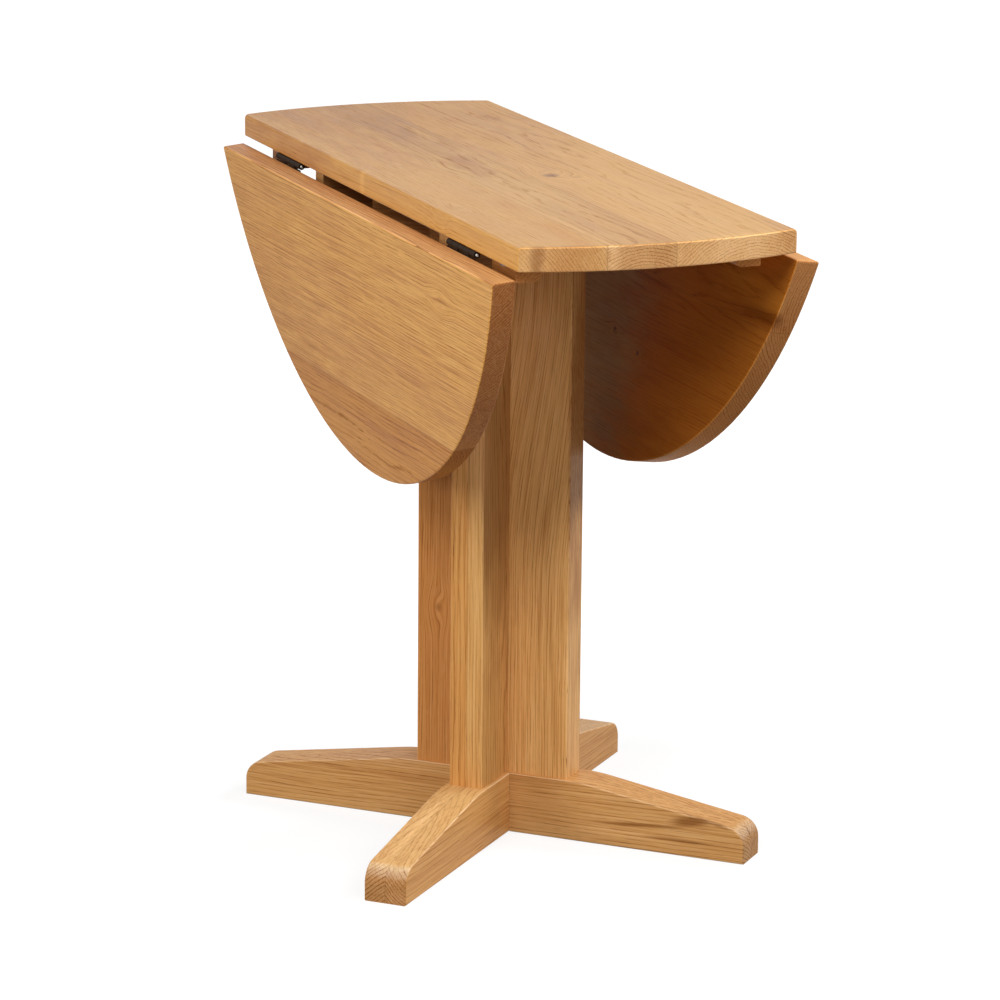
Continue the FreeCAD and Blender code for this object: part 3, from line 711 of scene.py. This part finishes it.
def left_leaf_oak():
    staves = [
        Stave(edge=0.2125, pith_across=-0.12, pith_deep=-0.16, tint=HONEY, seed=11.0),
        Stave(edge=0.4, pith_across=0.26, pith_deep=-0.07, tint=AMBER, seed=12.0),
    ]
    stains = [
        # Painted shade darkening the far end of the leaf
        Stain(along=-0.46, across=0.1, reach=0.55, width=0.5, tint=PAINTED_FAR_SHADE, strength=0.8),
        Stain(along=0.0, across=0.175, reach=0.6, width=0.07, tint=LEAF_SHADE),
        # Darker inner half of the leaf's top edge
        Stain(along=0.0, across=0.0, reach=0.6, width=0.012, tint=SIDE_DARKENING_AND_PAINTED_FAR_SHADE, deep=-0.006, depth=0.012),
    ]
    return oak(
        "oak_left_leaf", LEFT_PIN, -LONG, LEFT_OUT, staves,
        knots=[Knot(along=0.265, across=0.051, size=0.010, dark=0.08)], stains=stains,
        # Painted shade on the underside
        faces=Faces(end=LEFT_END, first_side=HINGE_SIDE, last_side=RIM_LOW, under=PAINTED_UNDER_SHADE_AND_TONE),
        grain=Grain(ring=0.0028, wander=0.015, contrast=1.15, end_lines=1.6),
    )


def right_leaf_oak():
    staves = [
        Stave(edge=0.087, pith_across=0.05, pith_deep=-0.12, tint=HONEY, seed=21.0),
        Stave(edge=0.4, pith_across=0.02, pith_deep=-0.16, tint=HONEY, seed=22.0),
    ]
    knots = [
        Knot(along=-0.002, across=0.159, size=0.007, dark=0.8),
        Knot(along=-0.069, across=0.1735, size=0.005, dark=0.7),
    ]
    # Marks of the underside, which lies near the pin's depth: a dark figure, a painted grey reflection, a painted
    # lighter patch and painted shade lower down
    under_depth = 0.02
    stains = [
        Stain(along=-0.375, across=0.0745, reach=0.105, width=0.013, tint=DARK_FIGURE, lean=0.056,
              depth=under_depth),
        # Painted grey reflection over a broad patch
        Stain(along=0.08, across=0.19, reach=0.20, width=0.60, tint=PAINTED_GREY_REFLECTION, depth=under_depth),
        # Painted light: a lighter orange patch
        Stain(along=-0.33, across=0.050, reach=0.13, width=0.03, tint=PAINTED_ORANGE_LIGHT, strength=0.8,
              depth=under_depth),
        # Painted shade on the lower part
        Stain(along=-0.11, across=0.27, reach=0.22, width=0.07, tint=PAINTED_LOW_SHADE, strength=0.9,
              depth=under_depth),
    ]
    return oak(
        "oak_right_leaf", RIGHT_PIN, LONG, RIGHT_OUT, staves, knots, stains,
        # Painted shade on the underside, the inner face of the hanging leaf
        faces=Faces(end=RIGHT_END, first_side=HINGE_SIDE, last_side=RIM_LOW, under=PAINTED_UNDER_SHADE_AND_TONE),
        grain=Grain(ring=0.0028, contrast=0.58, clouds=1.3, end_lines=1.6),
        finish=Finish(sheen=DULL_SHEEN),
    )


# Boards of the pedestal

def main_board_oak():
    staves = [
        Stave(edge=0.001, pith_across=-0.12, pith_deep=0.12, tint=ORANGE, seed=31.0),
        Stave(edge=0.1, pith_across=0.10, pith_deep=-0.02, tint=STRAW, seed=32.0),
    ]
    stains = [
        # Painted shadow of the leaf and the corner on the board's side face
        Stain(along=0.36, across=0.020, reach=0.32, width=0.003, tint=PAINTED_CORNER_SHADOW),
        # Painted light on the upper part, under the top
        Stain(along=0.42, across=0.0, reach=0.17, width=0.06, tint=PAINTED_UPPER_LIGHT, deep=-0.09, depth=0.03),
    ]
    return oak("oak_column_main", COLUMN_FOOT, UP, RIGHT, staves, stains=stains, grain=Grain(ring=0.0028))


def left_board_oak():
    stave = Stave(edge=0.1, pith_across=-0.16, pith_deep=-0.02, tint=REDDISH, seed=33.0)
    knot = Knot(along=0.18, across=-0.066, size=0.009, dark=0.4)
    return oak("oak_column_left", COLUMN_FOOT, UP, RIGHT, [stave], [knot], grain=Grain(ring=0.0030))


def right_board_oak():
    stave = Stave(edge=0.1, pith_across=0.16, pith_deep=-0.06, tint=WHEAT, seed=34.0)
    stains = [
        # Painted shadow over the middle height of the board's end face
        Stain(along=0.38, across=0.091, reach=0.32, width=0.003, tint=ROSE_PATCH_AND_PAINTED_SHADOW),
        # Painted light on the upper part, under the top
        Stain(along=0.62, across=0.05, reach=0.32, width=0.05, tint=PAINTED_UPPER_LIGHT_TAN),
        # Painted shade colour on the upper end face
        Stain(along=0.56, across=0.095, reach=0.26, width=0.007, tint=PAINTED_SHADE_BROWN),
    ]
    return oak(
        "oak_column_right", COLUMN_FOOT, UP, RIGHT, [stave], stains=stains,
        faces=Faces(last_side=ROSY_SIDE), sweep=Sweep(start=0.22, end=0.58, shift=0.038),
        grain=Grain(ring=0.0026),
    )


def front_back_foot_oak():
    staves = [
        # Staves with a tint that includes painted sheen for the tops
        Stave(edge=0.0, pith_across=0.10, pith_deep=-0.12, tint=FOOT_TAN_AND_PAINTED_SHEEN, seed=41.0),
        Stave(edge=0.1, pith_across=-0.10, pith_deep=-0.12, tint=FOOT_TAN_AND_PAINTED_SHEEN, seed=42.0),
    ]
    stains = [
        Stain(along=0.19, across=-0.008, reach=0.12, width=0.006, tint=SAPWOOD, strength=0.9),
        Stain(along=0.305, across=0.012, reach=0.008, width=0.014, tint=SAPWOOD, strength=0.8,
              deep=0.008, depth=0.014),
        Stain(along=0.305, across=-0.016, reach=0.008, width=0.016, tint=SMOKY, strength=0.4,
              deep=0.008, depth=0.014),
        # Painted shade on the back foot
        Stain(along=-0.22, across=0.0, reach=0.20, width=0.1, tint=PAINTED_BACK_SHADE),
    ]
    return oak(
        "oak_front_back_foot", FLOOR_MIDDLE, FRONT, RIGHT, staves, stains=stains,
        faces=Faces(end=FOOT_END, first_side=FOOT_SIDE, last_side=FOOT_SIDE),
        # Painted highlight on the foot's rounded arrises and nose
        grain=Grain(ring=0.0034, contrast=0.75, end_lines=2.4), arris=PAINTED_NOSE_HIGHLIGHT,
    )


def left_right_foot_stains():
    """Streaks and a pale lens on the right foot's front, cracks over it and in its end, painted shade on the left.
    """
    return [
        Stain(along=0.178, across=0.02, reach=0.075, width=0.04, tint=STREAK,
              deep=-0.0291, depth=0.0036, rise=-0.06),
        Stain(along=0.242, across=0.027, reach=0.036, width=0.010, tint=STREAK,
              deep=-0.0410, depth=0.0085, rise=-0.20),
        Stain(along=0.272, across=0.027, reach=0.022, width=0.008, tint=STREAK, strength=0.9,
              deep=-0.0425, depth=0.004, rise=0.20),
        Stain(along=0.150, across=0.02, reach=0.060, width=0.04, tint=SAPWOOD, strength=0.8,
              deep=-0.0165, depth=0.008, rise=-0.03),
        Stain(along=0.245, across=0.02, reach=0.070, width=0.04, tint=STREAK, strength=0.8,
              deep=-0.0180, depth=0.0024, rise=-0.01),
        Stain(along=0.229, across=0.0175, reach=0.018, width=0.0022, tint=CRACK, lean=0.52,
              deep=-0.056, depth=0.012, rise=0.2),
        Stain(along=0.303, across=0.0, reach=0.012, width=0.0016, tint=CRACK, deep=-0.030, depth=0.010),
        # Painted shade on the left foot
        Stain(along=-0.17, across=0.0, reach=0.16, width=0.06, tint=PAINTED_BACK_SHADE, deep=-0.066, depth=0.022),
    ]


def left_right_foot_oak():
    staves = [
        Stave(edge=0.0, pith_across=-0.16, pith_deep=0.12, tint=TAN, seed=43.0),
        Stave(edge=0.1, pith_across=0.12, pith_deep=0.16, tint=TAN, seed=44.0),
    ]
    return oak(
        "oak_left_right_foot", FLOOR_MIDDLE, RIGHT, FRONT, staves, stains=left_right_foot_stains(),
        # Painted highlight on the foot's rounded arrises and nose
        faces=Faces(end=PINK_END), grain=Grain(ring=0.0040, end_lines=1.6), arris=PAINTED_NOSE_HIGHLIGHT,
    )


def dress_boards():
    dress("centre_top", strip_oak())
    dress("left_leaf", left_leaf_oak())
    dress("right_leaf", right_leaf_oak())
    dress("column_main_board", main_board_oak())
    dress("column_left_board", left_board_oak())
    dress("column_right_board", right_board_oak())
    dress("front_back_foot", front_back_foot_oak())
    dress("left_right_foot", left_right_foot_oak())


# Small wood: one stave each, wide enough for the whole piece

WHOLE_WIDTH = 1.0
RAIL_SEED = 51.0
KEEPER_SEED = 61.0
DOWEL_SEED = 71.0


def middle(node):
    low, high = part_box(node)
    return (low + high) / 2


def dress_under_top():
    rails = {"front_back_bearer": FRONT, "left_right_bearer": RIGHT, "near_batten": SIDE, "far_batten": SIDE}
    for step, (node, along) in enumerate(rails.items()):
        stave = Stave(WHOLE_WIDTH, pith_across=0.06, pith_deep=0.08, tint=TAN, seed=RAIL_SEED + step)
        # The battens' long sides get painted shade
        shade = PAINTED_SHADE_SIDE if node.endswith("batten") else PLAIN
        faces = Faces(first_side=shade, last_side=shade)
        dress(node, oak("oak_" + node, middle(node), along, UP.cross(along), [stave], faces=faces))
    for step, corner in enumerate(("near_left", "near_right", "far_left", "far_right")):
        keeper = corner + "_keeper"
        stave = Stave(WHOLE_WIDTH, pith_across=0.04, pith_deep=0.05, tint=REDDISH, seed=KEEPER_SEED + step)
        dress(keeper, oak("oak_" + keeper, middle(keeper), LONG, SIDE, [stave]))


def dress_dowels():
    stave = Stave(WHOLE_WIDTH, pith_across=0.02, pith_deep=0.03, tint=PALE, seed=DOWEL_SEED)
    dress("column_dowels", oak("turned_dowel", middle("column_dowels"), RIGHT, FRONT, [stave],
                               grain=Grain(ring=0.002)))


# Metals

HINGE_BROWN = colour(64, 48, 35)
HINGE_DARK = colour(28, 20, 15)
BRIGHT_GREY = colour(222, 220, 214)
BRIGHT_DARK = colour(160, 156, 150)
BAR_GREY = colour(150, 150, 148)
BAR_DARK = colour(96, 94, 92)
ZINC_GREY = colour(206, 204, 196)
ZINC_DARK = colour(150, 146, 138)
# Drawn scratches along Y or along X, and tarnish, in cycles per metre
SCRATCH_ALONG_Y = (900.0, 40.0, 900.0)
SCRATCH_ALONG_X = (40.0, 900.0, 900.0)
TARNISH = (160.0, 160.0, 160.0)
# Shares of tarnish and scratches in a steel's colour and roughness
STEEL_TONE = -0.15
TARNISH_TONE = 0.8
SCRATCH_TONE = 0.4
TARNISH_ROUGH = 0.2
SCRATCH_ROUGH = 0.12
STEEL_RELIEF = 0.2
STEEL_RELIEF_DEPTH = 0.0001


def steel(name, base, dark, roughness, scratch=SCRATCH_ALONG_Y):
    """Steel with fine drawn scratches, cloudy tarnish and uneven gloss."""
    material, g, shader, place = new_material(name)
    lines, _ = g.noise(place["Object"], scratch, detail=2.0)
    cloud, _ = g.noise(place["Object"], TARNISH, detail=3.0, roughness=0.6)
    share = g.total(STEEL_TONE, (TARNISH_TONE, cloud), (SCRATCH_TONE, lines))
    g.feed(shader.inputs["Base Color"], g.mix(share, dark, base))
    matt = g.total(roughness, (TARNISH_ROUGH, cloud), (SCRATCH_ROUGH, lines))
    g.feed(shader.inputs["Roughness"], matt)
    shader.inputs["Metallic"].default_value = 1.0
    g.relief(shader, lines, STEEL_RELIEF, STEEL_RELIEF_DEPTH)
    return material


def dress_metal():
    """Each metal piece gets the finish of its material slot."""
    finishes = {
        "hinge_steel": steel("dark_hinge_steel", HINGE_BROWN, HINGE_DARK, roughness=0.55),
        "bright_steel": steel("bright_drawn_steel", BRIGHT_GREY, BRIGHT_DARK, roughness=0.18),
        "bar_steel": steel("rolled_bar_steel", BAR_GREY, BAR_DARK, roughness=0.32, scratch=SCRATCH_ALONG_X),
        "zinc_steel": steel("zinc_plated_steel", ZINC_GREY, ZINC_DARK, roughness=0.30),
    }
    for part in frame["record"]["subparts"]:
        if part["material_slot"] in finishes:
            dress(part["node"], finishes[part["material_slot"]])


# Studio

FLOOR_SIZE = 40.0
FLOOR_SHADE = 0.25
FLOOR_GLOW = 0.80
GLOW_NEAR = 0.35
GLOW_FAR = 0.85
WORLD_LIGHT = 0.08
LAMP_REACH = 3.6
LAMP_SIZE = 1.6
LAMP_TARGET = Vector((0, 0, 0.45))
LOW = 15
MID = 35
HIGH = 55


def seen_directly(g):
    """1 for what the camera sees, straight, mirrored or through glass."""
    path = g.node("ShaderNodeLightPath").outputs
    seen = g.math("MAXIMUM", path["Is Camera Ray"], path["Is Glossy Ray"])
    return g.math("MAXIMUM", seen, path["Is Transmission Ray"])


def floor_material():
    """Grey to the light and white to the eye, a little less near the table, where its shadow falls."""
    material, g, shader, place = new_material("white_floor")
    shader.inputs["Base Color"].default_value = (FLOOR_SHADE, FLOOR_SHADE, FLOOR_SHADE, 1.0)
    shader.inputs["Roughness"].default_value = 1.0
    shader.inputs["Specular IOR Level"].default_value = 0.0
    glow = g.node("ShaderNodeEmission")
    away = g.vector("LENGTH", place["Object"])
    level = g.smooth(away, GLOW_NEAR, GLOW_FAR, FLOOR_GLOW, 1.0)
    g.feed(glow.inputs["Strength"], g.math("MULTIPLY", seen_directly(g), level))
    blend = g.node("ShaderNodeAddShader")
    g.feed_all(blend, (shader.outputs[0], glow.outputs[0]))
    g.feed(material.node_tree.nodes["Material Output"].inputs[0], blend.outputs[0])
    return material


def make_floor():
    half = FLOOR_SIZE / 2
    mesh = bpy.data.meshes.new("studio_floor")
    corners = [(-half, -half, 0), (half, -half, 0), (half, half, 0), (-half, half, 0)]
    mesh.from_pydata(corners, [], [(0, 1, 2, 3)])
    floor = bpy.data.objects.new("studio_floor", mesh)
    bpy.context.scene.collection.objects.link(floor)
    mesh.materials.append(floor_material())


def make_world():
    """White where it is seen, and a faint light on the table."""
    world = bpy.data.worlds.new("studio")
    bpy.context.scene.world = world
    world.use_nodes = True
    g = Graph(world.node_tree)
    back = world.node_tree.nodes["Background"]
    back.inputs["Color"].default_value = (1.0, 1.0, 1.0, 1.0)
    strength = g.math("MULTIPLY_ADD", seen_directly(g), 1.0 - WORLD_LIGHT, WORLD_LIGHT)
    g.feed(back.inputs["Strength"], strength)


def softbox(name, heading, height, power):
    """Round soft lamp aimed at the table, from a heading about it and a height angle in degrees."""
    turn = math.radians(heading)
    lift = math.radians(height)
    aim = Vector((math.cos(lift) * math.cos(turn), math.cos(lift) * math.sin(turn), math.sin(lift)))
    lamp = bpy.data.lights.new(name, "AREA")
    lamp.shape = "DISK"
    lamp.size = LAMP_SIZE
    lamp.energy = power
    box = bpy.data.objects.new(name, lamp)
    box.location = LAMP_TARGET + aim * LAMP_REACH
    box.rotation_euler = (-aim).to_track_quat("-Z", "Y").to_euler()
    bpy.context.scene.collection.objects.link(box)


def make_lights():
    """Softboxes round the front half, the right-hand one the key, and a weak fill behind."""
    softbox("left_low_softbox", heading=180, height=LOW, power=48.0)
    softbox("left_high_softbox", heading=180, height=HIGH, power=9.0)
    softbox("front_left_softbox", heading=225, height=MID, power=46.0)
    softbox("front_low_softbox", heading=270, height=LOW, power=28.0)
    softbox("front_softbox", heading=270, height=MID, power=10.0)
    softbox("front_high_softbox", heading=270, height=HIGH, power=9.0)
    softbox("front_right_softbox", heading=315, height=MID, power=32.0)
    softbox("right_softbox", heading=0, height=MID, power=64.0)
    softbox("back_softbox", heading=90, height=MID, power=10.0)


def make_camera():
    """Camera at the reference picture's place, with its heading, tilt and slight roll."""
    ahead = Vector((-math.sin(CAMERA_YAW) * math.cos(CAMERA_PITCH),
                    math.cos(CAMERA_YAW) * math.cos(CAMERA_PITCH), math.sin(CAMERA_PITCH)))
    level = Vector((math.cos(CAMERA_YAW), math.sin(CAMERA_YAW), 0))
    upright = level.cross(ahead)
    right = level * math.cos(CAMERA_ROLL) + upright * math.sin(CAMERA_ROLL)
    above = upright * math.cos(CAMERA_ROLL) - level * math.sin(CAMERA_ROLL)
    lens = bpy.data.cameras.new("photo_camera")
    lens.sensor_width = SENSOR_WIDTH
    lens.lens = CAMERA_LENS
    camera = bpy.data.objects.new("photo_camera", lens)
    turn = Matrix((right, above, -ahead)).transposed()
    camera.matrix_world = Matrix.Translation(CAMERA_PLACE) @ turn.to_4x4()
    bpy.context.scene.collection.objects.link(camera)
    bpy.context.scene.camera = camera


dress_boards()
dress_under_top()
dress_metal()
dress_dowels()
make_floor()
make_world()
make_lights()
make_camera()
bpy.context.scene.view_settings.view_transform = "Standard"
